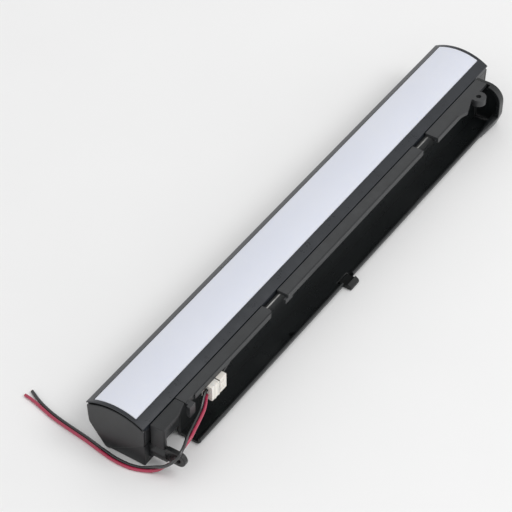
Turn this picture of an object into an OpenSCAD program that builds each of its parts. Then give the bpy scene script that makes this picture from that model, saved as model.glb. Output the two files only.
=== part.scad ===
// LED light bar module: a slim lamp pod on a moulded mounting channel,
// fed by a two-wire lead that plugs into a header inside the channel.
// +X runs along the bar, +Z is up, and the origin is the centre of the footprint.

/* [Lamp] */
// Length of the lamp pod over its end caps
lamp_len = 246.4; // [200:0.2:300]
// Width of the lamp pod
lamp_w = 25; // [24:0.5:26]
// Height of the pod's side edges above the table
side_h = 19.5; // [19:0.1:21]
// Rise of the arched top above the side edges
crown = 3.6; // [3:0.1:4.5]
// Wall thickness of the pod's housing
shell_t = 1.5; // [1.2:0.1:1.8]
// Thickness of an end cap, from the pod's end to the cap's inner face
cap_t = 1.4; // [1.2:0.1:1.4]
// Width of the bezel strip on the open side
strip_left = 2.6; // [2:0.1:4]
// Width of the bezel strip beside the channel
strip_right = 4; // [3:0.1:5]
// Number of LEDs on the board
led_count = 30; // [12:1:36]

/* [Mounting channel] */
// Width of the whole module, from the pod's open side to the tip of the ear
total_w = 40.2; // [38:0.2:44]
// Wall thickness of the channel
wall_t = 1.4; // [1.2:0.1:1.6]
// Distance from the pod's end to the end wall of the near bracket
near_wall_at = 3.4; // [3:0.1:5]
// Distance from the pod's end to the start of the channel's floor
floor_at = 19.5; // [18:0.5:22]
// Distance from the pod's far end back to the channel's end wall
far_inset = 8.9; // [8:0.1:12]
// Height of the channel's outer lip
lip_h = 3.2; // [2.6:0.1:4]
// Thickness of a top rail's plate
rail_t = 1.6; // [1.4:0.1:2]
// Width of the near and middle top rails
rail_w = 5.1; // [4.8:0.1:6]
// Diameter of the hole in the mounting ear
ear_hole_d = 2.4; // [2:0.1:2.8]
// Diameter of the hole in the far screw boss
boss_hole_d = 2.2; // [1.8:0.1:2.6]

/* [Lead] */
// Outer diameter of one wire
wire_d = 1.24; // [1:0.02:1.3]
// Pitch of the connector's two contacts
pin_pitch = 2.5; // [2.5:0.1:2.6]
// Length of the mated plug and header
mated_len = 9.2; // [9:0.1:10]

/* [Hidden] */

$fn = 48;

// Ends of the pod and its centre plane
x_near = -lamp_len/2;
x_far = lamp_len/2;
lamp_y = total_w/2 - lamp_w/2;
edge_y = lamp_y - lamp_w/2;

// The arched top is part of one circle
arch_r = (lamp_w*lamp_w/4 + crown*crown)/(2*crown);
arch_z = side_h + crown - arch_r;
bezel_t = 1.3;
tongue_t = 1;
tongue_gap = 0.1;
seam_z = side_h - 2;
end_rail = 1.4;
rim_t = 0.55;
groove_h = 1.3;
groove_deep = 1;
cap_recess = 0.15;
rebate = 0.6;
rebate_depth = 1.2;

// Section of the pod below the bezel, from its centre plane, anticlockwise
keel = [4.6, -0.45];
hip = [-12.2, 10.1];
pod_corners = [
    [lamp_w/2, seam_z], [-lamp_w/2, seam_z], hip, keel, [12, 9.6]
];
pod_radii = [0, 0, 1, 1.5, 5];

// Board, its ribs and ledges
board_z = 12;
board_t = 1;
board_w = 20.4;
board_end = 7;
tape_t = 0.2;

// Channel: the wall stands a small gap away from the pod
pod_gap = 0.4;
wall_y = edge_y - pod_gap;
inner_y = wall_y - wall_t;
lip_y = wall_y - 10.4;
rail_edge_y = wall_y - rail_w;
bracket_edge_y = wall_y - 6;
far_rail_w = 6.2;
rail_z = side_h - rail_t;
x_floor = x_near + floor_at;
x_end_wall = x_far - far_inset;
end_wall_t = 1.6;
near_x = x_near + near_wall_at;
near_t = 1.9;

// Top rails: where each one starts and stops
near_rail_x = [x_near + 19, x_near + 75.2];
mid_rail_x = [x_near + 85.4, x_near + 184.7];
far_rail_x = [x_near + 194.5, x_end_wall - end_wall_t];
screw_x = [for (d = [58, 100, 135, 170, 205]) x_near + d];
screw_z = 15.2;
screw_r = 1;
screw_head_r = 1.5;
leg_t = 1;
leg_w = 12;

// Far screw boss
boss_x = x_near + 226.8;
boss_y = edge_y - 6.9;
boss_r = 3.2;
boss_h = 3.2;

// Mounting ear
ear_t = 2.2;
ear_r = 2.9;
ear_z = 7.7;
ear_root_y = wall_y - 6.4;
ear_tip_y = -total_w/2;

// Snap-in latch tab in the channel's lip
tab_x = [x_near + 117.5, x_near + 123.3];
tab_clear = 0.6;
tab_root_y = lip_y + 3.2;
tab_tip_y = lip_y - 3;
tab_z = 0.3;
tab_t = 1.7;

// Connector: the header's back is on a small board on the channel's wall
conn_x = x_near + 31.9;
conn_h = 6.6;
conn_z = 13.7;
hdr_board_t = 0.8;
conn_w = 4.9;
conn_back_y = inner_y - hdr_board_t;
conn_y = conn_back_y - conn_w/2;
hdr_x = conn_x + 5.1;
hdr_end = conn_x + mated_len;
hdr_wall = 0.8;
slip = 0.12;
pin_w = 0.64;

// Cable hole through the channel's wall and the pod's wall
hole_x = x_near + 48.8;
hole_z = 15.3;
hole_r = 2;

// Centre line of the wire pair, from the plug to its cut ends
pair_route = [
    [-91.3, -10, 13.7], [-93.2, -10.6, 13.6], [-95.6, -11.8, 13.2], [-98.4, -13, 12.8],
    [-101.6, -13.9, 12.5], [-105, -14.7, 12.3], [-108, -15.4, 12.1], [-111, -16.1, 12],
    [-114, -16.8, 12], [-116.8, -17.5, 12.1], [-119, -18, 12], [-120.8, -18.1, 11.2],
    [-121.9, -17.3, 10], [-122.5, -15.5, 7.6], [-122.8, -13, 5], [-123.1, -10.4, 2.7],
    [-123.8, -7.8, 1.3], [-125, -4.9, 0.7], [-126, -1.9, 0.64], [-126.5, 1.2, 0.64],
    [-126.6, 4.4, 0.64], [-126.4, 7.8, 0.64], [-125.4, 14.2, 0.64], [-124.3, 20.6, 0.64],
    [-123.5, 27, 0.64], [-122.7, 33, 0.64], [-121.8, 38, 0.64], [-120.7, 42.2, 0.64],
    [-119.7, 45.5, 0.64], [-118.7, 48.6, 0.64], [-117.8, 51.6, 0.64]
];
pair_space = 0.66;
fan_rings = 3;

// ---- Helpers ----------------------------------------------------------

// Points of a round corner of radius r at b, between a and c
function corner(a, b, c, r, n = 8) =
    let (u = (a - b)/norm(a - b), v = (c - b)/norm(c - b),
         half = acos(u*v)/2,
         mid = b + (u + v)/norm(u + v)*r/sin(half),
         p = b + u*r/tan(half) - mid,
         q = b + v*r/tan(half) - mid,
         start = atan2(p[1], p[0]),
         turn = atan2(q[1], q[0]) - start,
         sweep = turn > 180 ? turn - 360 : turn < -180 ? turn + 360 : turn)
    [for (i = [0:n]) mid + r*[cos(start + sweep*i/n), sin(start + sweep*i/n)]];

// An outline with a radius at each of its corners
function rounded(points, radii) =
    let (m = len(points))
    [for (i = [0:m - 1]) each radii[i] > 0
        ? corner(points[(i + m - 1)%m], points[i], points[(i + 1)%m], radii[i])
        : [points[i]]];

// A convex anticlockwise outline moved inwards by t
function inset(points, t) =
    let (m = len(points))
    [for (i = [0:m - 1])
        let (u = points[i] - points[(i + m - 1)%m], v = points[(i + 1)%m] - points[i],
             nu = [-u[1], u[0]]/norm(u), nv = [-v[1], v[0]]/norm(v))
        points[i] + t*(nu + nv)/(1 + nu*nv)];

// Direction of travel at point i of a route
function heading(route, i) =
    let (d = route[min(i + 1, len(route) - 1)] - route[max(i - 1, 0)])
    d/norm(d);

// Side of a route that points to the inside of its bend
function inner_side(route, i) =
    let (s = cross(heading(route, i), [0, 0, 1]))
    s/norm(s);

// Route of one wire of the pair: side is 1 for the inner wire and -1 for the outer.
// At the plug the wires lie one above the other, and at the cut ends they spread.
function wire_route(side) =
    let (last = len(pair_route) - 1)
    [for (i = [0:last])
        let (k = min(i/fan_rings, 1),
             f = max(0, i - last + fan_rings)/fan_rings,
             across = inner_side(pair_route, i)*(pair_space + 0.9*f*f)*sin(90*k),
             above = [0, 0, pin_pitch/2]*cos(90*k))
        pair_route[i] + side*(across + above)];

// Tube of diameter d along a route
module tube(route, d, sides = 8) {
    n = len(route);
    rings = [for (i = [0:n - 1])
        let (h = heading(route, i),
             a = inner_side(route, i),
             b = cross(a, h))
        for (j = [0:sides - 1])
            route[i] + d/2/cos(180/sides)*(a*cos(360*(j + 0.5)/sides) + b*sin(360*(j + 0.5)/sides))];
    walls = [for (i = [0:n - 2]) for (j = [0:sides - 1])
        let (k = (j + 1)%sides)
        [i*sides + j, i*sides + k, (i + 1)*sides + k, (i + 1)*sides + j]];
    near_face = [for (j = [sides - 1:-1:0]) j];
    far_face = [for (j = [0:sides - 1]) (n - 1)*sides + j];
    polyhedron(rings, concat(walls, [near_face, far_face]), convexity = 8);
}

// Extrudes a Y-Z section along X
module along_x(x0, x1) {
    translate([x0, 0, 0])
        rotate([90, 0, 90])
            linear_extrude(x1 - x0)
                children();
}

// Box from its lowest to its highest corner
module block(low, high) {
    translate(low)
        cube(high - low);
}

// Round bar or hole along Y
module bar_y(x, y0, y1, z, r) {
    translate([x, y1, z])
        rotate([90, 0, 0])
            cylinder(h = y1 - y0, r = r);
}

// Round bar or hole along X
module bar_x(x0, x1, y, z, r) {
    translate([x0, y, z])
        rotate([0, 90, 0])
            cylinder(h = x1 - x0, r = r);
}

// ---- Lamp pod ---------------------------------------------------------

// Section under the arch and above z0, moved inwards by t and down by drop
module arch(t, z0, drop = 0) {
    intersection() {
        translate([lamp_y, arch_z - drop])
            circle(r = arch_r - t, $fn = 160);
        translate([edge_y, z0])
            square([lamp_w, 2*side_h]);
    }
}

// Part of a section between two Y values, from the open side's edge
module strip(y0, y1) {
    intersection() {
        children();
        translate([y0, 0])
            square([y1 - y0, 2*side_h]);
    }
}

module pod_section() {
    translate([lamp_y, 0])
        polygon(rounded(pod_corners, pod_radii));
}

module pod_hollow() {
    translate([lamp_y, 0])
        polygon(inset(pod_corners, shell_t));
    translate([edge_y + shell_t, board_z])
        square([lamp_w - 2*shell_t, side_h]);
    // Rebate for the bezel's keys
    translate([edge_y + shell_t - rebate, seam_z - rebate_depth])
        square([lamp_w - 2*(shell_t - rebate), side_h]);
}

// Saddle that fills the corner under the pod's sloping side
module saddle(x0, x1) {
    slack = 0.08;
    slope = (hip[1] - keel[1])/(keel[0] - hip[0]);
    top = hip[1] - slack/cos(atan(slope));
    along_x(x0, x1)
        translate([lamp_y + hip[0], 0])
            polygon([[0, 0], [top/slope, 0], [0, top]]);
}

module lamp_housing() {
    rib_w = 2;
    rib_y = 3.4;
    ledge_w = 2.2;
    color("#404042")
        difference() {
            union() {
                along_x(x_near + cap_t, x_far - cap_t) {
                    difference() {
                        pod_section();
                        pod_hollow();
                    }
                    intersection() {
                        pod_section();
                        union() {
                            for (s = [-1, 1])
                                translate([lamp_y + 3 + s*rib_y - rib_w/2, 1])
                                    square([rib_w, board_z - tape_t - 1]);
                            translate([edge_y + 1, board_z - 1.2])
                                square([ledge_w, 1.2]);
                            translate([lamp_y + lamp_w/2 - 1 - ledge_w, board_z - 1.2])
                                square([ledge_w, 1.2]);
                        }
                    }
                }
            }
            for (x = screw_x)
                bar_y(x, edge_y - 1, edge_y + 3, screw_z, screw_r);
            bar_y(hole_x, edge_y - 1, edge_y + 3, hole_z, hole_r);
        }
}

// Section of the arch's top, down to a depth under it
module end_ring(depth) {
    difference() {
        arch(0, 0);
        arch(0, 0, depth);
    }
}

module top_bezel() {
    key_y = edge_y + shell_t - rebate + 0.1;
    key_t = rebate - 0.1;
    color("#42444c")
        difference() {
            union() {
                along_x(x_near + end_rail - 0.1, x_far - end_rail + 0.1)
                    difference() {
                        arch(0, seam_z);
                        arch(bezel_t, 0);
                    }
                along_x(x_near + end_rail, x_far - end_rail)
                    for (y = [edge_y, lamp_y + lamp_w/2 - shell_t])
                        strip(y, y + shell_t)
                            arch(0, seam_z);
                // Keys that locate the bezel in the rebates of the housing's walls
                for (y = [key_y, 2*lamp_y - key_y - key_t])
                    block([x_near + 12, y, seam_z - rebate_depth + 0.1], [x_far - 12, y + key_t, seam_z + 0.1]);
                // Rim over each end cap, and the web behind the groove under it
                for (x = [x_near, x_far - end_rail])
                    along_x(x, x + end_rail)
                        end_ring(rim_t);
                for (x = [x_near + groove_deep, x_far - end_rail])
                    along_x(x, x + end_rail - groove_deep)
                        end_ring(rim_t + groove_h - 0.1);
            }
            // Room for the grommet, and the window for the diffuser
            block([hole_x - hole_r - 1, edge_y - 1, seam_z - 2],
                  [hole_x + hole_r + 1, edge_y + shell_t + 1, seam_z]);
            along_x(x_near + end_rail, x_far - end_rail)
                translate([edge_y + strip_right, side_h - 1])
                    square([lamp_w - strip_left - strip_right, 2*crown]);
        }
}

module diffuser() {
    flush = 0.05;
    side_gap = 0.1;
    window = [edge_y + strip_right + side_gap, lamp_y + lamp_w/2 - strip_left - side_gap];
    color("#dce0e9")
        along_x(x_near + end_rail + side_gap, x_far - end_rail - side_gap)
            difference() {
                union() {
                    strip(window[0], window[1])
                        arch(flush, seam_z);
                    strip(edge_y + 1.9, lamp_y + lamp_w/2 - 1.9)
                        arch(bezel_t + tongue_gap, seam_z);
                }
                arch(bezel_t + tongue_gap + tongue_t, 0);
            }
}

// End cap: an arched plate with spigots that reach into the housing
module end_cap(x, inward) {
    spigot = 4;
    x0 = inward > 0 ? x + cap_recess : x - cap_t;
    s0 = inward > 0 ? x + cap_t - 0.1 : x - cap_t - spigot;
    color("#404042") {
        along_x(x0, x0 + cap_t - cap_recess) {
            pod_section();
            arch(0, seam_z - 0.1, rim_t + groove_h);
        }
        for (y = [edge_y + 2.6, lamp_y + lamp_w/2 - 4.2])
            block([s0, y, board_z + 0.4], [s0 + spigot + 0.1, y + 1.6, seam_z - 1.4]);
        block([s0, lamp_y + 0.6, 4.6], [s0 + spigot + 0.1, lamp_y + 5, 9]);
    }
}

module end_cap_near() {
    end_cap(x_near, 1);
}

module end_cap_far() {
    end_cap(x_far, -1);
}

module led_board() {
    color("#e6e8e4")
        block([x_near + board_end, lamp_y - board_w/2, board_z],
              [x_far - board_end, lamp_y + board_w/2, board_z + board_t]);
}

module board_tape() {
    strip_w = 1.8;
    color("#d8d4c8")
        for (s = [-1, 1])
            block([x_near + board_end + 2, lamp_y + 3 + s*3.4 - strip_w/2, board_z - tape_t],
                  [x_far - board_end - 2, lamp_y + 3 + s*3.4 + strip_w/2, board_z]);
}

// Places along the board, evenly spaced
function along_board(n) =
    [for (i = [0:n - 1]) x_near + board_end + (i + 0.5)*(lamp_len - 2*board_end)/n];

module led_chips() {
    chip = [3.5, 2.8, 0.7];
    color("#f2e9a8")
        for (x = along_board(led_count))
            translate([x - chip[0]/2, lamp_y - chip[1]/2, board_z + board_t])
                cube(chip);
}

module chip_resistors() {
    chip = [1.6, 3.2, 0.55];
    count = led_count/3;
    color("#1c1c20")
        for (x = along_board(count))
            translate([x - chip[0]/2, lamp_y + 5.2, board_z + board_t])
                cube(chip);
}

// Feed lead from the header's board through the grommet to the LED board
module feed_lead(up) {
    lead_d = 0.9;
    apart = 0.55;
    off_board = 0.75;
    pad_z = conn_z + up*pin_pitch/2;
    tube([
        [hole_x - 5, conn_back_y - lead_d/2 - 0.1, pad_z],
        [hole_x - 3.8, conn_back_y - off_board, pad_z],
        [hole_x - 2.4, conn_back_y - off_board - 0.5, hole_z + up*0.8],
        [hole_x - 1, conn_back_y - off_board - 0.5, hole_z + up*0.6],
        [hole_x, conn_back_y - off_board, hole_z + up*apart],
        [hole_x, inner_y, hole_z + up*apart],
        [hole_x, edge_y + shell_t, hole_z + up*apart],
        [hole_x, edge_y + 3.4, hole_z + up*apart],
        [hole_x + up*0.9, edge_y + 5, hole_z - 0.5 + up*0.45],
        [hole_x + up*1.5, edge_y + 6.6, board_z + board_t + lead_d/2 + 0.05],
        [hole_x + up*1.5, edge_y + 8, board_z + board_t + lead_d/2 + 0.05]
    ], lead_d);
}

module feed_lead_red() {
    color("#b42a48")
        feed_lead(-1);
}

module feed_lead_black() {
    color("#181818")
        feed_lead(1);
}

module grommet() {
    flange_t = 0.8;
    color("#202022")
        difference() {
            union() {
                bar_y(hole_x, inner_y - flange_t, inner_y, hole_z, hole_r + 0.5);
                bar_y(hole_x, inner_y - 0.1, edge_y + shell_t + 0.3, hole_z, hole_r - 0.02);
            }
            bar_y(hole_x, inner_y - 2, edge_y + shell_t + 1, hole_z, 1.45);
        }
}

// ---- Mounting channel -------------------------------------------------

module channel_section() {
    polygon(rounded([
        [wall_y, rail_z], [inner_y, rail_z], [inner_y, wall_t], [lip_y + 1.3, wall_t],
        [lip_y + 1.3, lip_h], [lip_y, lip_h], [lip_y, 0], [wall_y, 0]
    ], [0, 0.4, 0, 0, 0.5, 0.6, 2.2, 2]));
}

// Outline of the rounded end wall, moved inwards by t
module end_wall_section(t) {
    bulge_y = wall_y - 13;
    polygon(rounded([
        [wall_y - t, side_h - t], [bulge_y + t, side_h - t], [bulge_y + 0.3 + t, 6],
        [lip_y - 0.2 + t, t], [wall_y - t, t]
    ], [0, 7 - t, 8, 0.6, 0]));
}

module mount_channel() {
    rim_w = 1.7;
    rim_depth = 3.2;
    gusset_t = 1.2;
    color("#1c2024")
        difference() {
            union() {
                along_x(x_floor, x_end_wall - 0.1)
                    channel_section();
                along_x(x_end_wall - end_wall_t, x_end_wall)
                    end_wall_section(0);
                // Raised rim round the end wall, open where the rail meets it
                difference() {
                    along_x(x_end_wall - rim_depth, x_end_wall - 0.1)
                        difference() {
                            end_wall_section(0);
                            end_wall_section(rim_w);
                        }
                    block([x_end_wall - rim_depth - 1, wall_y - far_rail_w - 0.6, rail_z - 0.1],
                          [x_end_wall - end_wall_t, wall_y + 1, side_h + 1]);
                }
                // Fillet that runs the lip out into the end wall's rim
                hull() {
                    along_x(x_end_wall - rim_depth, x_end_wall - 0.2)
                        intersection() {
                            end_wall_section(0);
                            translate([lip_y - 3, 0])
                                square([4.2, 5.4]);
                        }
                    block([x_end_wall - 13, lip_y + 0.2, 0.7], [x_end_wall - rim_depth, lip_y + 1.2, lip_h - 0.3]);
                }
                // Saddles that carry the pod
                for (d = [30, 88, 150, 196, 233])
                    saddle(x_near + d, x_near + d + 2.6);
                for (d = [30, 88, 150, 196, 233])
                    block([x_near + d, wall_y - 0.5, 3.2],
                          [x_near + d + 2.6, lamp_y + hip[0] + 0.1, 9.2]);
                // Small gusset inside the lip
                block([x_near + 83, lip_y + 1, 1], [x_near + 83 + gusset_t, lip_y + 3.4, lip_h - 0.6]);
            }
            for (x = screw_x)
                bar_y(x, inner_y - 1, wall_y + 1, screw_z, screw_r + 0.2);
            bar_y(hole_x, inner_y - 1, wall_y + 1, hole_z, hole_r);
            // Slot for the latch tab
            block([tab_x[0] - tab_clear, lip_y - 3, -1],
                  [tab_x[1] + tab_clear, tab_root_y, lip_h + 1]);
        }
}

module near_bracket() {
    plate_end = near_rail_x[0] - 0.12;
    edge_round = 0.8;
    side_low = 5.8;
    arm_z = [2.4, 9.4];
    arm_x = [near_x - 0.4, near_x + 2.8];
    color("#46484a")
        union() {
            // Saddle under the pod's near end, and the web that holds it
            saddle(x_near + 0.5, x_near + 8);
            block([near_x, wall_y - 0.5, arm_z[0]], [near_x + near_t, lamp_y + hip[0] + 0.1, arm_z[1]]);
            // Side plate that meets the channel's wall
            difference() {
                block([near_x, inner_y, side_low], [x_floor - 0.1, wall_y, side_h]);
                block([plate_end, inner_y - 1, rail_z], [x_floor, wall_y + 1, side_h + 1]);
            }
            // End wall, rounded at its outer edge
            translate([0, 0, arm_z[1] - 0.1])
                linear_extrude(side_h - arm_z[1] + 0.1)
                    polygon(rounded([
                        [near_x, wall_y - 0.1], [near_x, bracket_edge_y],
                        [near_x + near_t, bracket_edge_y], [near_x + near_t, wall_y - 0.1]
                    ], [0, edge_round, 0, 0]));
            // Top plate with its scooped edge
            translate([0, 0, rail_z])
                linear_extrude(rail_t)
                    polygon(rounded([
                        [plate_end, wall_y], [near_x, wall_y], [near_x, bracket_edge_y],
                        [near_x + 8.6, bracket_edge_y], [plate_end, wall_y - 4.2]
                    ], [0, 0, edge_round, 9, 0]));
            // Arm that carries the ear, bevelled along its top front edge
            rotate([90, 0, 0])
                translate([0, 0, -wall_y])
                    linear_extrude(wall_y - ear_root_y)
                        polygon([
                            [arm_x[0] + 1.4, arm_z[0]], [arm_x[1], arm_z[0]], [arm_x[1], arm_z[1]],
                            [arm_x[0] + 1.6, arm_z[1]], [arm_x[0], arm_z[1] - 2.4],
                            [arm_x[0], arm_z[0] + 3]
                        ]);
        }
}

module mount_ear() {
    tip = ear_tip_y + ear_r;
    color("#222426")
        difference() {
            along_x(near_x, near_x + ear_t)
                union() {
                    translate([tip, ear_z])
                        circle(r = ear_r);
                    translate([tip, ear_z - ear_r])
                        square([ear_root_y - tip, 2*ear_r]);
                }
            bar_x(near_x - 1, near_x + ear_t + 1, tip + 0.4, ear_z, ear_hole_d/2);
        }
}

// Leg of a top rail, which a screw goes through
module rail_leg(x) {
    block([x - leg_w/2, inner_y - leg_t, 12.9], [x + leg_w/2, inner_y, rail_z + 0.1]);
}

// Plate of a top rail with its turned-down edge, and a fine groove just inside that edge
module rail_plate(x0, x1, w) {
    groove_w = 0.3;
    y0 = wall_y - w;
    difference() {
        union() {
            block([x0, y0, rail_z], [x1, wall_y, side_h]);
            block([x0, y0, rail_z - 0.8], [x1, y0 + 1.2, side_h - 0.1]);
        }
        block([x0 - 1, y0 + 0.35, side_h - 0.25], [x1 + 1, y0 + 0.35 + groove_w, side_h + 1]);
    }
}

module leg_holes() {
    for (x = screw_x)
        bar_y(x, inner_y - leg_t - 1, inner_y + 0.2, screw_z, screw_r + 0.2);
}

module top_rail_near() {
    hook_x = [x_near + 17.9, x_near + 21.3];
    hook_y = [rail_edge_y - 2.1, rail_edge_y - 0.5];
    color("#4b4e50")
        difference() {
            union() {
                rail_plate(near_rail_x[0], near_rail_x[1], rail_w);
                rail_leg(screw_x[0]);
                // Hook that keeps the lead away from the rail's end
                block([hook_x[0], hook_y[0], 14.3], [hook_x[1], hook_y[1], side_h - 0.2]);
                block([near_rail_x[0], hook_y[1] - 0.1, rail_z - 0.8], [hook_x[1], rail_edge_y + 0.5, side_h - 0.2]);
            }
            leg_holes();
            // Notch behind the hook, and the rounded far corner
            block([hook_x[1], rail_edge_y - 1, 0], [hook_x[1] + 3, rail_edge_y + 0.6, side_h + 1]);
            translate([near_rail_x[1] - 2, rail_edge_y + 2, rail_z - 2])
                linear_extrude(5)
                    difference() {
                        translate([0, -3])
                            square([3, 3]);
                        circle(r = 2);
                    }
        }
}

module top_rail_mid() {
    color("#4b4e50")
        difference() {
            union() {
                rail_plate(mid_rail_x[0], mid_rail_x[1], rail_w);
                for (i = [1:3])
                    rail_leg(screw_x[i]);
                // Lip end that reaches back into the gap
                block([mid_rail_x[0] - 1.8, rail_edge_y, rail_z - 1.8],
                      [mid_rail_x[0] + 3, rail_edge_y + 1.1, rail_z + 0.2]);
            }
            leg_holes();
        }
}

module top_rail_far() {
    wing_x = x_near + 211;
    wing_y = wall_y - far_rail_w;
    color("#4b4e50")
        difference() {
            union() {
                rail_plate(far_rail_x[0], wing_x + 4, far_rail_w);
                rail_leg(screw_x[4]);
                // Wing that widens the rail, and the plate that carries the boss
                translate([0, 0, rail_z])
                    linear_extrude(rail_t)
                        polygon([
                            [wing_x, wall_y], [wing_x, wing_y], [wing_x + 4.6, wing_y - 1.5],
                            [wing_x + 12, wing_y + 1], [far_rail_x[1], wing_y + 1],
                            [far_rail_x[1], wall_y]
                        ]);
                translate([boss_x, boss_y, side_h - boss_h])
                    cylinder(h = boss_h, r = boss_r);
            }
            leg_holes();
            translate([boss_x, boss_y, side_h - boss_h - 1])
                cylinder(h = boss_h + 2, r = boss_hole_d/2);
        }
}

module rail_screws() {
    head_t = 0.8;
    tip_y = edge_y + shell_t + 0.5;
    color("#8c9096")
        for (x = screw_x) {
            bar_y(x, inner_y - leg_t - head_t, inner_y - leg_t, screw_z, screw_head_r);
            bar_y(x, inner_y - leg_t - 0.1, tip_y, screw_z, screw_r - 0.03);
        }
}

module latch_tab() {
    barb = 0.9;
    root_gap = 0.15;
    color("#303236")
        along_x(tab_x[0], tab_x[1]) {
            // Round root, which the tab bends about
            translate([tab_root_y - root_gap - tab_t/2, tab_z + tab_t/2])
                circle(r = tab_t/2);
            polygon([
                [tab_root_y - root_gap - tab_t/2, tab_z], [tab_root_y - root_gap - tab_t/2, tab_z + tab_t],
                [tab_tip_y + 2, tab_z + tab_t], [tab_tip_y + 1.7, tab_z + tab_t + barb],
                [tab_tip_y + 0.3, tab_z + tab_t], [tab_tip_y, tab_z + tab_t - 0.5],
                [tab_tip_y, tab_z]
            ]);
        }
}

// ---- Connector and lead -----------------------------------------------

module header_board() {
    color("#1f5a34")
        difference() {
            block([hdr_x - 1, conn_back_y, 9.6], [hole_x - 3.4, inner_y, 17.6]);
            for (s = [-1, 1])
                bar_y(hdr_end + 1.2, conn_back_y - 1, inner_y + 1, conn_z + s*pin_pitch/2, 0.5);
        }
}

module header_shell() {
    color("#e1ded7")
        difference() {
            block([hdr_x, conn_back_y - conn_w, conn_z - conn_h/2],
                  [hdr_end, conn_back_y, conn_z + conn_h/2]);
            block([hdr_x - 1, conn_back_y - conn_w + hdr_wall, conn_z - conn_h/2 + hdr_wall],
                  [hdr_end - 1, conn_back_y - hdr_wall, conn_z + conn_h/2 - hdr_wall]);
            // Slots for the plug's keys
            for (s = [-1, 1])
                block([hdr_x - 1, conn_back_y - conn_w - 1, conn_z + s*1.6 - 0.45],
                      [hdr_end - 2, conn_back_y - conn_w + 1.5, conn_z + s*1.6 + 0.45]);
            for (s = [-1, 1])
                block([hdr_end - 2, conn_y - pin_w/2 - 0.02, conn_z + s*pin_pitch/2 - pin_w/2 - 0.02],
                      [hdr_end + 1, conn_y + pin_w/2 + 0.02, conn_z + s*pin_pitch/2 + pin_w/2 + 0.02]);
        }
}

module header_pins() {
    color("#c9b26a")
        for (s = [-1, 1]) {
            z = conn_z + s*pin_pitch/2;
            block([hdr_x + 0.8, conn_y - pin_w/2, z - pin_w/2],
                  [hdr_end + 1.2 + pin_w/2, conn_y + pin_w/2, z + pin_w/2]);
            block([hdr_end + 1.2 - pin_w/2, conn_y, z - pin_w/2],
                  [hdr_end + 1.2 + pin_w/2, inner_y - 0.1, z + pin_w/2]);
        }
}

module plug_housing() {
    bore = 0.8;
    nose = hdr_wall + slip;
    color("#e6e3dc")
        difference() {
            union() {
                block([conn_x, conn_back_y - conn_w, conn_z - conn_h/2],
                      [hdr_x - 3*slip, conn_back_y - slip, conn_z + conn_h/2]);
                block([conn_x + 1, conn_back_y - conn_w + nose, conn_z - conn_h/2 + nose],
                      [hdr_end - 1.4, conn_back_y - nose, conn_z + conn_h/2 - nose]);
                // Keys that slide in the header's slots
                for (s = [-1, 1])
                    block([conn_x + 3, conn_back_y - conn_w + 0.1, conn_z + s*1.6 - 0.3],
                          [hdr_x + 1.9, conn_back_y - conn_w + 1.5, conn_z + s*1.6 + 0.3]);
            }
            for (s = [-1, 1])
                bar_x(conn_x - 1, hdr_end, conn_y, conn_z + s*pin_pitch/2, bore);
        }
}

module plug_terminals() {
    color("#b9bcc0")
        for (s = [-1, 1]) {
            z = conn_z + s*pin_pitch/2;
            difference() {
                bar_x(conn_x + 1.2, hdr_end - 1.8, conn_y, z, 0.72);
                block([hdr_x + 0.4, conn_y - pin_w/2 - 0.08, z - pin_w/2 - 0.08],
                      [hdr_end, conn_y + pin_w/2 + 0.08, z + pin_w/2 + 0.08]);
            }
        }
}

module wire_red() {
    color("#b0284a")
        tube(wire_route(-1), wire_d);
}

module wire_black() {
    color("#141416")
        tube(wire_route(1), wire_d);
}

lamp_housing();
top_bezel();
diffuser();
end_cap_near();
end_cap_far();
led_board();
board_tape();
led_chips();
chip_resistors();
feed_lead_red();
feed_lead_black();
grommet();
mount_channel();
near_bracket();
mount_ear();
top_rail_near();
top_rail_mid();
top_rail_far();
rail_screws();
latch_tab();
header_board();
header_shell();
header_pins();
plug_housing();
plug_terminals();
wire_red();
wire_black();
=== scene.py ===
"""Looks for the LED light bar module: a lamp pod with an opal lens, its mounting channel and its lead.

The pieces are modelled in millimetres, in the row frame, and scaled to metres at the end.
"""

import math

import bmesh
import bpy
from mathutils import Matrix, Vector


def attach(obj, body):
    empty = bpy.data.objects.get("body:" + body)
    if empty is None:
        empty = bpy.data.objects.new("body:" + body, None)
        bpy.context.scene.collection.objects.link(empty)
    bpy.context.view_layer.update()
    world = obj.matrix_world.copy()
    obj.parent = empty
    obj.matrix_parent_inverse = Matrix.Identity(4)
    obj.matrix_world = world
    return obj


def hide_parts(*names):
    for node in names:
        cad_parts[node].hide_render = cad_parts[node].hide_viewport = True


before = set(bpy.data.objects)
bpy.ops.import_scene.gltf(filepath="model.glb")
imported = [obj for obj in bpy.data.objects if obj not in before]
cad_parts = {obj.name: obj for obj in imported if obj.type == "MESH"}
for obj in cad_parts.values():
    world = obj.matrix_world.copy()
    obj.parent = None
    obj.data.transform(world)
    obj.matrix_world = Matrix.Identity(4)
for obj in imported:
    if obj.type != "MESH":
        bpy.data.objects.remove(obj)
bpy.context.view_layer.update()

MM = 0.001
MODULE, LEAD, LATCH = "light_module", "lead", "latch"


# ---- Camera -------------------------------------------------------------

CAMERA_AT = Vector((-551.9, -336.9, 611.9)) * MM
CAMERA_AZIMUTH = math.radians(-56.44)
CAMERA_ELEVATION = math.radians(43.23)
CAMERA_LENS = 160
CAMERA_SENSOR = 36


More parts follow.
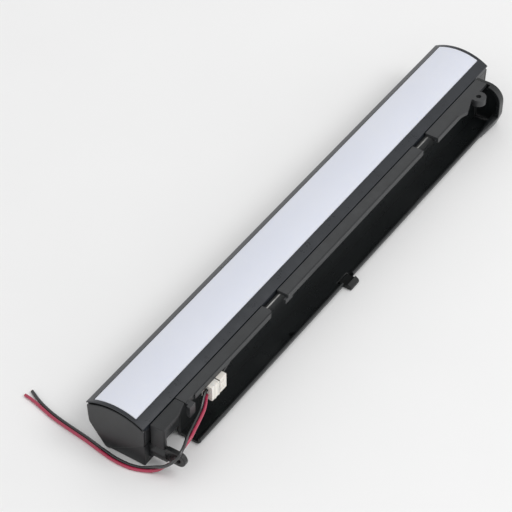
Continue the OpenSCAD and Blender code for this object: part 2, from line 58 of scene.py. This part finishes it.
def make_camera():
    """A long lens at the photograph's viewing angle."""
    level = math.cos(CAMERA_ELEVATION)
    across, along = math.sin(CAMERA_AZIMUTH) * level, -math.cos(CAMERA_AZIMUTH) * level
    back = Vector((across, along, math.sin(CAMERA_ELEVATION)))
    data = bpy.data.cameras.new("camera")
    data.lens = CAMERA_LENS
    data.sensor_width = CAMERA_SENSOR
    data.clip_start, data.clip_end = 0.01, 10
    camera = bpy.data.objects.new("camera", data)
    camera.location = CAMERA_AT
    camera.rotation_mode = "QUATERNION"
    camera.rotation_quaternion = (-back).to_track_quat("-Z", "Y")
    bpy.context.scene.collection.objects.link(camera)
    bpy.context.scene.camera = camera


make_camera()


# ---- Shader helpers -----------------------------------------------------


def new_material(name):
    """An empty Principled material: its tree, its shader node, and object coordinates."""
    material = bpy.data.materials.new(name)
    material.use_nodes = True
    tree = material.node_tree
    skin = tree.nodes["Principled BSDF"]
    place = tree.nodes.new("ShaderNodeTexCoord").outputs["Object"]
    return material, tree, skin, place


def plug_in(tree, socket, value):
    """Gives a socket a value, or links another node's output to it."""
    if isinstance(value, bpy.types.NodeSocket):
        tree.links.new(value, socket)
    else:
        socket.default_value = value


def noise(tree, place, size_mm, detail=2.0, roughness=0.5):
    """Noise whose blotches are about this size."""
    made = tree.nodes.new("ShaderNodeTexNoise")
    made.inputs["Scale"].default_value = 1 / (size_mm * MM)
    made.inputs["Detail"].default_value = detail
    made.inputs["Roughness"].default_value = roughness
    tree.links.new(place, made.inputs["Vector"])
    return made.outputs["Fac"]


def remap(tree, value, low, high, to_low, to_high):
    """Maps low..high to to_low..to_high, clamped."""
    made = tree.nodes.new("ShaderNodeMapRange")
    for socket, number in zip(list(made.inputs)[1:5], (low, high, to_low, to_high)):
        socket.default_value = number
    plug_in(tree, made.inputs[0], value)
    return made.outputs[0]


def mix(tree, factor, a, b):
    """Mixes two colours."""
    made = tree.nodes.new("ShaderNodeMix")
    made.data_type = "RGBA"
    plug_in(tree, made.inputs[0], factor)
    plug_in(tree, made.inputs[6], a)
    plug_in(tree, made.inputs[7], b)
    return made.outputs[2]


def maths(tree, operation, a, b):
    """One arithmetic step on two values."""
    made = tree.nodes.new("ShaderNodeMath")
    made.operation = operation
    plug_in(tree, made.inputs[0], a)
    plug_in(tree, made.inputs[1], b)
    return made.outputs[0]


def axes(tree, place):
    """The X, Y and Z of a coordinate."""
    split = tree.nodes.new("ShaderNodeSeparateXYZ")
    tree.links.new(place, split.inputs[0])
    return split.outputs


def bump(tree, skin, height, depth_mm, strength=1.0):
    """Bumps a surface by a height from 0 to 1."""
    made = tree.nodes.new("ShaderNodeBump")
    made.inputs["Strength"].default_value = strength
    made.inputs["Distance"].default_value = depth_mm * MM
    tree.links.new(height, made.inputs["Height"])
    tree.links.new(made.outputs["Normal"], skin.inputs["Normal"])


def shade(colour, factor):
    """A colour made lighter or darker, with alpha."""
    return (*(min(1.0, c * factor) for c in colour), 1.0)


def milky(skin, weight, radius_mm):
    """Lets light scatter a little way below a surface."""
    skin.inputs["Subsurface Weight"].default_value = weight
    skin.inputs["Subsurface Radius"].default_value = [r * MM for r in radius_mm]
    skin.inputs["Subsurface Scale"].default_value = 1.0


MOTTLE = 0.12
DUST_GREY = (0.6, 0.6, 0.58, 1)
FLOW_MM, HANDLING_MM, SPECK_MM = 16.0, 5.0, 0.5


def moulded(name, colour, rough, gloss=0.5, grain_mm=0.35, grain_depth_mm=0.012, wear=1.6, dust=0.015):
    """Injection-moulded plastic: fine grain, faint flow mottling, rubbed edges and a little dust."""
    material, tree, skin, place = new_material(name)
    grain = noise(tree, place, grain_mm, detail=3.0)
    handling = noise(tree, place, HANDLING_MM, detail=5.0, roughness=0.65)
    flow = remap(tree, noise(tree, place, FLOW_MM, detail=4.0, roughness=0.6), 0.3, 0.7, 0, 1)
    body = mix(tree, flow, shade(colour, 1 - MOTTLE), shade(colour, 1 + MOTTLE))
    edges = tree.nodes.new("ShaderNodeNewGeometry").outputs["Pointiness"]
    edges = remap(tree, edges, 0.52, 0.6, 0, 1)
    rubbed = maths(tree, "MULTIPLY", edges, remap(tree, handling, 0.4, 0.65, 0.15, 0.8))
    body = mix(tree, rubbed, body, shade(colour, wear))
    specks = remap(tree, noise(tree, place, SPECK_MM, detail=1.0), 0.73, 0.78, 0, 1)
    body = mix(tree, maths(tree, "MULTIPLY", specks, dust), body, DUST_GREY)
    tree.links.new(body, skin.inputs["Base Color"])
    tree.links.new(remap(tree, handling, 0.3, 0.7, rough - 0.05, rough + 0.06), skin.inputs["Roughness"])
    skin.inputs["Specular IOR Level"].default_value = gloss
    bump(tree, skin, grain, grain_depth_mm, 0.6)
    return material


# ---- Materials ----------------------------------------------------------

CHARCOAL = (0.016, 0.017, 0.018)
BRACKET_BLACK = (0.012, 0.0132, 0.0142)
RAIL_GREY = (0.026, 0.0275, 0.029)
BEZEL_BLUE = (0.014, 0.0165, 0.021)
CHANNEL_BLACK = (0.007, 0.0085, 0.009)
EAR_BLACK = (0.009, 0.0095, 0.01)
TAB_BLACK = (0.009, 0.0098, 0.01)
RUBBER_BLACK = (0.02, 0.02, 0.02)
# Painted highlight colour for the top outer edge of the channel wall
EDGE_HIGHLIGHT_GREY = (0.3, 0.3, 0.29)
# Painted shade colour for the gap between plug and header
GAP_SHADE = (0.02, 0.02, 0.018)

pod_plastic = moulded("pod_plastic", CHARCOAL, 0.36)
bezel_plastic = moulded("bezel_plastic", BEZEL_BLUE, 0.3, grain_depth_mm=0.003)
rail_plastic = moulded("rail_plastic", RAIL_GREY, 0.4)
bracket_plastic = moulded("bracket_plastic", BRACKET_BLACK, 0.42)
channel_plastic = moulded(
    "channel_plastic", CHANNEL_BLACK, 0.3, grain_mm=0.8, grain_depth_mm=0.004, dust=0.02
)
ear_plastic = moulded("ear_plastic", EAR_BLACK, 0.28, grain_mm=0.8, grain_depth_mm=0.004)
tab_plastic = moulded("tab_plastic", TAB_BLACK, 0.4, gloss=0.3)
rubber = moulded("grommet_rubber", RUBBER_BLACK, 0.7, grain_mm=0.2)


def reopen(material):
    """A finished material's tree, shader node, object coordinates and base colour."""
    tree = material.node_tree
    skin = tree.nodes["Principled BSDF"]
    place = tree.nodes.new("ShaderNodeTexCoord").outputs["Object"]
    return tree, skin, place, skin.inputs["Base Color"].links[0].from_socket


def paint_edge_highlight(material, low_z_mm, high_y_mm, high_x_mm):
    """Paints a highlight on a top outer edge: above one height, beyond one Y, and short of one X."""
    tree, skin, place, base = reopen(material)
    at = axes(tree, place)
    above = remap(tree, at["Z"], low_z_mm * MM, (low_z_mm + 0.15) * MM, 0, 1)
    beyond = remap(tree, at["Y"], high_y_mm * MM, (high_y_mm - 0.1) * MM, 0, 1)
    short = remap(tree, at["X"], high_x_mm * MM, (high_x_mm - 1) * MM, 0, 1)
    patchy = remap(tree, noise(tree, place, 3.0, detail=3.0), 0.3, 0.6, 0.5, 1)
    inside = maths(tree, "MULTIPLY", above, beyond)
    factor = maths(tree, "MULTIPLY", inside, maths(tree, "MULTIPLY", short, patchy))
    tree.links.new(mix(tree, factor, base, (*EDGE_HIGHLIGHT_GREY, 1)), skin.inputs["Base Color"])


# Painted highlight on the channel wall's top outer edge, in the gaps between the rails and short of the
# far end wall
paint_edge_highlight(channel_plastic, low_z_mm=17.5, high_y_mm=-6.25, high_x_mm=108)


def opal(name):
    """Opal acrylic: milky, with a satin skin."""
    material, tree, skin, place = new_material(name)
    cloud = noise(tree, place, 30.0, detail=3.0)
    colour = mix(tree, cloud, (0.655, 0.68, 0.765, 1), (0.70, 0.72, 0.79, 1))
    tree.links.new(colour, skin.inputs["Base Color"])
    tree.links.new(remap(tree, noise(tree, place, 3.0), 0.3, 0.7, 0.34, 0.4), skin.inputs["Roughness"])
    milky(skin, 0.25, (1.6, 1.7, 2.0))
    bump(tree, skin, noise(tree, place, 0.25), 0.004, 0.4)
    return material


def paint_gap_shade(material, low_x_mm, high_x_mm, share):
    """Darkens a band of a material between two Xs: painted shade in a joint where shade falls."""
    tree, skin, place, base = reopen(material)
    along = axes(tree, place)["X"]
    soft = 0.04 * MM
    after = remap(tree, along, low_x_mm * MM, low_x_mm * MM + soft, 0, share)
    before = remap(tree, along, high_x_mm * MM, high_x_mm * MM - soft, 0, 1)
    gap_shaded = mix(tree, maths(tree, "MULTIPLY", after, before), base, (*GAP_SHADE, 1))
    tree.links.new(gap_shaded, skin.inputs["Base Color"])


def insulation(name, colour, deep):
    """Soft PVC: a slight sheen and faint lengthwise drawing marks."""
    material, tree, skin, place = new_material(name)
    blotch = noise(tree, place, 2.5, detail=3.0)
    tree.links.new(mix(tree, blotch, (*colour, 1), (*deep, 1)), skin.inputs["Base Color"])
    tree.links.new(remap(tree, blotch, 0.3, 0.7, 0.14, 0.22), skin.inputs["Roughness"])
    skin.inputs["Specular IOR Level"].default_value = 0.8
    bump(tree, skin, noise(tree, place, 0.6), 0.006, 0.5)
    return material


def nylon(name, colour):
    """Unfilled nylon: ivory, slightly translucent, with a fine satin grain."""
    material, tree, skin, place = new_material(name)
    cloud = noise(tree, place, 1.8, detail=3.0)
    tree.links.new(mix(tree, cloud, shade(colour, 0.95), shade(colour, 1.04)), skin.inputs["Base Color"])
    tree.links.new(remap(tree, cloud, 0.3, 0.7, 0.36, 0.46), skin.inputs["Roughness"])
    milky(skin, 0.15, (0.6, 0.5, 0.4))
    bump(tree, skin, noise(tree, place, 0.18), 0.006, 0.4)
    return material


def metal(name, colour, rough, brush_mm=0.1):
    """Plated metal with fine rolling marks."""
    material, tree, skin, place = new_material(name)
    marks = noise(tree, place, brush_mm, detail=4.0)
    tree.links.new(mix(tree, marks, shade(colour, 0.85), shade(colour, 1.1)), skin.inputs["Base Color"])
    skin.inputs["Metallic"].default_value = 1.0
    tree.links.new(remap(tree, marks, 0.3, 0.7, rough - 0.06, rough + 0.08), skin.inputs["Roughness"])
    bump(tree, skin, marks, 0.004, 0.4)
    return material


def board_mask(name, colour, dark):
    """Solder mask with the weave of the laminate faintly below it."""
    material, tree, skin, place = new_material(name)
    weave = tree.nodes.new("ShaderNodeTexChecker")
    weave.inputs["Scale"].default_value = 1 / (0.7 * MM)
    tree.links.new(place, weave.inputs["Vector"])
    factor = maths(tree, "MULTIPLY", weave.outputs["Fac"], 0.25)
    base = mix(tree, noise(tree, place, 4.0), (*colour, 1), shade(colour, 0.88))
    tree.links.new(mix(tree, factor, base, (*dark, 1)), skin.inputs["Base Color"])
    skin.inputs["Roughness"].default_value = 0.32
    bump(tree, skin, noise(tree, place, 0.3), 0.008, 0.4)
    return material


opal_lens = opal("opal_lens")
red_pvc = insulation("wire_red", (0.42, 0.022, 0.075), (0.33, 0.014, 0.05))
black_pvc = insulation("wire_black", (0.022, 0.022, 0.023), (0.012, 0.012, 0.013))
ivory = nylon("connector_white", (0.80, 0.765, 0.71))
ivory_plug = nylon("plug_white", (0.83, 0.80, 0.75))
copper = metal("copper", (0.75, 0.4, 0.22), 0.3, 0.05)
tin = metal("pin_tin", (0.72, 0.68, 0.56), 0.3)
zinc = metal("screw_steel", (0.45, 0.46, 0.48), 0.35)
white_mask = board_mask("board_white", (0.78, 0.79, 0.76), (0.7, 0.71, 0.69))
green_mask = board_mask("board_green", (0.012, 0.09, 0.03), (0.008, 0.05, 0.02))
paper_tape = moulded("tape", (0.55, 0.52, 0.45), 0.8, grain_mm=0.5, wear=1.0, dust=0)
phosphor = nylon("led_phosphor", (0.8, 0.66, 0.16))
resistor_body = moulded("resistor_black", (0.01, 0.01, 0.012), 0.35, grain_mm=0.15, dust=0)


# ---- Piece helpers ------------------------------------------------------

SHARP = math.radians(28)
SHARP_AFTER_BEVEL = math.radians(60)


def cad_copy(node):
    """A CAD node's mesh in millimetres, with the triangles of its flat faces joined."""
    bm = bmesh.new()
    bm.from_mesh(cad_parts[node].data)
    bmesh.ops.scale(bm, vec=(1 / MM,) * 3, verts=bm.verts)
    bmesh.ops.remove_doubles(bm, verts=bm.verts, dist=0.002)
    bmesh.ops.dissolve_limit(bm, angle_limit=math.radians(0.4), verts=bm.verts, edges=bm.edges)
    return bm


def mark_outer_edges(mesh):
    """Gives a bevel weight to the sharp edges that point outwards; inner corners stay sharp."""
    bm = bmesh.new()
    bm.from_mesh(mesh)
    weight = bm.edges.layers.float.new("bevel_weight_edge")
    for edge in bm.edges:
        if edge.is_manifold and edge.calc_face_angle_signed() > SHARP:
            edge[weight] = 1.0
    bm.to_mesh(mesh)
    bm.free()


def settle(obj, width=0.0, segments=2):
    """Rounds the outer edges, makes the shading even, and scales a piece from millimetres to metres."""
    if width:
        mark_outer_edges(obj.data)
        edge = obj.modifiers.new("edge", "BEVEL")
        edge.width = width
        edge.segments = segments
        edge.limit_method = "WEIGHT"
        edge.use_clamp_overlap = False
        edge.miter_outer = "MITER_ARC"
    even = obj.modifiers.new("even", "WEIGHTED_NORMAL")
    even.keep_sharp = True
    for polygon in obj.data.polygons:
        polygon.use_smooth = True
    obj.data.set_sharp_from_angle(angle=SHARP_AFTER_BEVEL if width else SHARP)
    graph = bpy.context.evaluated_depsgraph_get()
    final = bpy.data.meshes.new_from_object(obj.evaluated_get(graph))
    obj.modifiers.clear()
    obj.data = final
    final.transform(Matrix.Scale(MM, 4))
    return obj


def link_mesh(name, bm):
    """A new object in the scene with this mesh."""
    mesh = bpy.data.meshes.new(name)
    bm.to_mesh(mesh)
    bm.free()
    obj = bpy.data.objects.new(name, mesh)
    bpy.context.scene.collection.objects.link(obj)
    return obj


def place_piece(obj, body, slot, material, *nodes):
    """Gives a finished piece its material and body, and hides the CAD nodes it stands in for."""
    obj.data.materials.clear()
    obj.data.materials.append(material)
    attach(obj, body)
    if nodes:
        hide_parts(*nodes)
    return obj


def dress(node, name, material, slot, width, body=MODULE, segments=2):
    """A piece with a CAD node's shape, finished with rounded edges."""
    obj = settle(link_mesh(name, cad_copy(node)), width, segments)
    return place_piece(obj, body, slot, material, node)


# ---- Lead ---------------------------------------------------------------

WIRE_D = 1.24
PAIR_SPACE = 0.66
PIN_PITCH = 2.5
FAN_RINGS = 3
END_SPREAD = 0.9

# Where the pair drops to the table, the black wire twists round to lie over the red on this side
OVER_SIDE = Vector((-0.62, -0.38, 0.69))
TWIST_FROM, TWIST_FULL, TWIST_EASE, TWIST_TO = 6, 9, 13.5, 17

# Centre line of the pair, from the plug to the cut ends, as in the CAD source
PAIR_ROUTE = [
    (-91.3, -10, 13.7), (-93.2, -10.6, 13.6), (-95.6, -11.8, 13.2), (-98.4, -13, 12.8),
    (-101.6, -13.9, 12.5), (-105, -14.7, 12.3), (-108, -15.4, 12.1), (-111, -16.1, 12),
    (-114, -16.8, 12), (-116.8, -17.5, 12.1), (-119, -18, 12), (-120.8, -18.1, 11.2),
    (-121.9, -17.3, 10), (-122.5, -15.5, 7.6), (-122.8, -13, 5), (-123.1, -10.4, 2.7),
    (-123.8, -7.8, 1.3), (-125, -4.9, 0.7), (-126, -1.9, 0.64), (-126.5, 1.2, 0.64),
    (-126.6, 4.4, 0.64), (-126.4, 7.8, 0.64), (-125.4, 14.2, 0.64), (-124.3, 20.6, 0.64),
    (-123.5, 27, 0.64), (-122.7, 33, 0.64), (-121.8, 38, 0.64), (-120.7, 42.2, 0.64),
    (-119.7, 45.5, 0.64), (-118.7, 48.6, 0.64), (-117.8, 51.6, 0.64),
]


def twist(i, ahead, across):
    """How far round its run the pair has turned at a ring, in radians."""
    up = across.cross(ahead)
    full = math.atan2(OVER_SIDE.dot(up), OVER_SIDE.dot(across))
    rise = min(max((i - TWIST_FROM) / (TWIST_FULL - TWIST_FROM), 0), 1)
    fall = min(max((TWIST_TO - i) / (TWIST_TO - TWIST_EASE), 0), 1)
    share = min(rise, fall)
    return full * share**2 * (3 - 2 * share)


def wire_route(side):
    """Centre line of one wire of the pair: side is 1 for the inner wire and -1 for the outer."""
    centre = [Vector(p) for p in PAIR_ROUTE]
    last = len(centre) - 1
    route = []
    for i, point in enumerate(centre):
        ahead = (centre[min(i + 1, last)] - centre[max(i - 1, 0)]).normalized()
        across = ahead.cross(Vector((0, 0, 1))).normalized()
        turn = min(i / FAN_RINGS, 1) * math.pi / 2
        spread = max(0, i - last + FAN_RINGS) / FAN_RINGS
        beside = Matrix.Rotation(-twist(i, ahead, across), 3, ahead) @ across
        offset = beside * (PAIR_SPACE + END_SPREAD * spread**2) * math.sin(turn)
        offset += Vector((0, 0, PIN_PITCH / 2)) * math.cos(turn)
        route.append(point + side * offset)
    return route


def smooth_route(route, steps=5):
    """A Catmull-Rom curve through a route's points."""
    ends = [2 * route[0] - route[1], *route, 2 * route[-1] - route[-2]]
    points = []
    for a, b, c, d in zip(ends, ends[1:], ends[2:], ends[3:]):
        for k in range(steps):
            t = k / steps
            square, cube = 2 * a - 5 * b + 4 * c - d, 3 * b - a - 3 * c + d
            points.append(0.5 * (2 * b + (c - a) * t + square * t**2 + cube * t**3))
    return [*points, route[-1]]


STRAND_R, STRAND_TIP_R = 0.135, 0.12
STRAND_RING_R = 0.27
STRAND_IN = 0.3


def strand_bundle(name, points):
    """Seven copper strands that just show at a wire's cut end."""
    tip, ahead = points[-1], (points[-1] - points[-2]).normalized()
    turn = ahead.to_track_quat("Z", "Y").to_matrix().to_4x4()
    bm = bmesh.new()
    ring = [k * math.pi / 3 for k in range(6)]
    spots = [(0, 0)] + [(STRAND_RING_R * math.cos(a), STRAND_RING_R * math.sin(a)) for a in ring]
    for k, (x, y) in enumerate(spots):
        length = 0.5 + 0.07 * (k * 5 % 3)
        at = Matrix.Translation(tip) @ turn @ Matrix.Translation((x, y, length / 2 - STRAND_IN))
        bmesh.ops.create_cone(
            bm, cap_ends=True, segments=12, radius1=STRAND_R, radius2=STRAND_TIP_R, depth=length, matrix=at
        )
    return settle(link_mesh(name, bm))


def make_wire(name, side, material, slot, node):
    """One wire of the lead, with its cut end's strands, as a cord."""
    points = smooth_route(wire_route(side))
    for point in points:
        point.z = max(point.z, WIRE_D / 2 + 0.01)
    data = bpy.data.curves.new(name, "CURVE")
    data.dimensions = "3D"
    data.bevel_depth = WIRE_D / 2 * MM
    data.bevel_resolution = 7
    data.use_fill_caps = True
    data.twist_mode = "MINIMUM"
    spline = data.splines.new("POLY")
    spline.points.add(len(points) - 1)
    for knot, point in zip(spline.points, points):
        knot.co = (*(point * MM), 1)
    spline.use_smooth = True
    wire = bpy.data.objects.new(name, data)
    bpy.context.scene.collection.objects.link(wire)
    place_piece(wire, LEAD, slot, material, node)
    strands = place_piece(strand_bundle(name + "_strands", points), LEAD, "pin_tin", copper)


make_wire("lead_red", -1, red_pvc, "wire_red", "wire_red")
make_wire("lead_black", 1, black_pvc, "wire_black", "wire_black")


# ---- Pod, channel and connector -----------------------------------------

JOINT_GAP = 0.6
RIB_WIDTH, RIB_PROUD, TOP_RIB_PROUD = 0.8, 0.22, 0.1
FIRST_RIB_AT = 1.6
TOP_RIB_LENGTH = 4.4
SLEEVE_WALL = 0.08
GROMMET_FACE_Y = -7.4


def corners(node):
    """A CAD node's lowest and highest corner, in millimetres."""
    spots = [vertex.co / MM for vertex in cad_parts[node].data.vertices]
    return [Vector(pick(spot[axis] for spot in spots) for axis in range(3)) for pick in (min, max)]


def add_bar(bm, low, high):
    """Adds a box between two corners."""
    low, high = Vector(low), Vector(high)
    made = bmesh.ops.create_cube(bm, size=1)["verts"]
    bmesh.ops.scale(bm, vec=high - low, verts=made)
    bmesh.ops.translate(bm, vec=(low + high) / 2, verts=made)


def make_plug(name):
    """The plug, with finger ribs over its front and top, and its flange a little short of the header."""
    near_x, front, low = corners("plug_housing")[0]
    top = corners("plug_housing")[1].z
    header_x = corners("header_shell")[0].x
    bm = cad_copy("plug_housing")
    flange = [v for v in bm.verts if near_x + 1 < v.co.x < header_x]
    flange_x = max(v.co.x for v in flange)
    for vertex in flange:
        if flange_x - vertex.co.x < 0.01:
            vertex.co.x = header_x - JOINT_GAP
    # Painted shade in the gap between the plug's flange and the header, on the plug and on the header's
    # mouth
    paint_gap_shade(ivory_plug, header_x - JOINT_GAP + 0.02, header_x + 0.1, 0.9)
    paint_gap_shade(ivory, header_x - 0.1, header_x + 0.05, 0.6)
    rib_top = top + TOP_RIB_PROUD
    face, behind = front - RIB_PROUD, front + RIB_PROUD
    for start in (header_x - JOINT_GAP - RIB_WIDTH, near_x + FIRST_RIB_AT):
        end = start + RIB_WIDTH
        add_bar(bm, (start, face, low), (end, behind, rib_top))
        add_bar(bm, (start, behind, top - RIB_PROUD), (end, front + TOP_RIB_LENGTH, rib_top))
    return settle(link_mesh(name, bm), 0.1)


def make_sleeve(name, node):
    """Black sleeving over a feed lead, from its solder joint to the grommet."""
    bm = cad_copy(node)
    inside = [face for face in bm.faces if face.calc_center_median().y > GROMMET_FACE_Y]
    bmesh.ops.delete(bm, geom=inside, context="FACES")
    bm.normal_update()
    moves = [(vertex, vertex.normal * SLEEVE_WALL) for vertex in bm.verts]
    for vertex, move in moves:
        vertex.co += move
    bmesh.ops.holes_fill(bm, edges=[edge for edge in bm.edges if edge.is_boundary], sides=0)
    return settle(link_mesh(name, bm))


dress("lamp_housing", "pod_shell", pod_plastic, "pod_plastic", 0.2)
dress("top_bezel", "bezel_frame", bezel_plastic, "bezel_plastic", 0.12)
dress("diffuser", "lens", opal_lens, "opal_lens", 0.15)
dress("end_cap_near", "cap_near", pod_plastic, "pod_plastic", 0.25)
dress("end_cap_far", "cap_far", pod_plastic, "pod_plastic", 0.25)
dress("mount_channel", "channel", channel_plastic, "channel_plastic", 0.2)
dress("near_bracket", "bracket", bracket_plastic, "bracket_plastic", 0.35, segments=3)
dress("mount_ear", "ear", ear_plastic, "ear_plastic", 0.35, segments=3)
dress("top_rail_near", "rail_near", rail_plastic, "rail_plastic", 0.12)
dress("top_rail_mid", "rail_mid", rail_plastic, "rail_plastic", 0.12)
dress("top_rail_far", "rail_far", rail_plastic, "rail_plastic", 0.12)
dress("rail_screws", "screws", zinc, "screw_steel", 0.15)
dress("latch_tab", "latch", tab_plastic, "tab_plastic", 0.15, LATCH)
dress("header_board", "connector_board", green_mask, "board_green", 0.06)
dress("header_shell", "header", ivory, "connector_white", 0.1)
dress("header_pins", "pins", tin, "pin_tin", 0.05)
place_piece(make_plug("plug"), LEAD, "plug_white", ivory_plug, "plug_housing")
dress("plug_terminals", "terminals", tin, "pin_tin", 0.04, LEAD)
dress("grommet", "bush", rubber, "grommet_rubber", 0.15)
dress("led_board", "strip_board", white_mask, "board_white", 0.08)
dress("board_tape", "tape_strips", paper_tape, "tape", 0.03)
dress("led_chips", "leds", phosphor, "led_phosphor", 0.1)
dress("chip_resistors", "resistors", resistor_body, "resistor_black", 0.06)
for colour, material in (("red", red_pvc), ("black", black_pvc)):
    dress(f"feed_lead_{colour}", f"feed_{colour}", material, f"wire_{colour}", 0.0)
    place_piece(make_sleeve(f"sleeve_{colour}", f"feed_lead_{colour}"), MODULE, "wire_black", black_pvc)


# ---- Stage --------------------------------------------------------------

FLOOR_SIZE = 6.0
HORIZON_LIGHT, ZENITH_LIGHT = 1.15, 0.72


def make_stage():
    """Plain pale table, even sky and one soft overhead light."""
    bm = bmesh.new()
    bmesh.ops.create_grid(bm, x_segments=1, y_segments=1, size=FLOOR_SIZE / 2)
    floor = link_mesh("table", bm)
    material, tree, skin, place = new_material("table")
    cloud = noise(tree, place, 60.0, detail=3.0)
    pale = mix(tree, cloud, (0.85, 0.85, 0.85, 1), (0.88, 0.88, 0.88, 1))
    tree.links.new(pale, skin.inputs["Base Color"])
    skin.inputs["Roughness"].default_value = 0.6
    floor.data.materials.append(material)
    world = bpy.data.worlds.new("sky")
    bpy.context.scene.world = world
    world.use_nodes = True
    tree = world.node_tree
    sky = tree.nodes["Background"]
    sky.inputs["Color"].default_value = (1.0, 1.0, 1.0, 1)
    height = axes(tree, tree.nodes.new("ShaderNodeTexCoord").outputs["Generated"])["Z"]
    glow = remap(tree, height, 0.1, 0.6, HORIZON_LIGHT, ZENITH_LIGHT)
    tree.links.new(glow, sky.inputs["Strength"])
    lamp = bpy.data.lights.new("soft_key", "AREA")
    lamp.shape = "DISK"
    lamp.size = 0.9
    lamp.energy = 9.0
    key = bpy.data.objects.new("soft_key", lamp)
    key.location = (0.25, -0.95, 1.25)
    key.rotation_mode = "QUATERNION"
    key.rotation_quaternion = (-key.location).to_track_quat("-Z", "Y")
    bpy.context.scene.collection.objects.link(key)
    bpy.context.scene.view_settings.view_transform = "Standard"


make_stage()
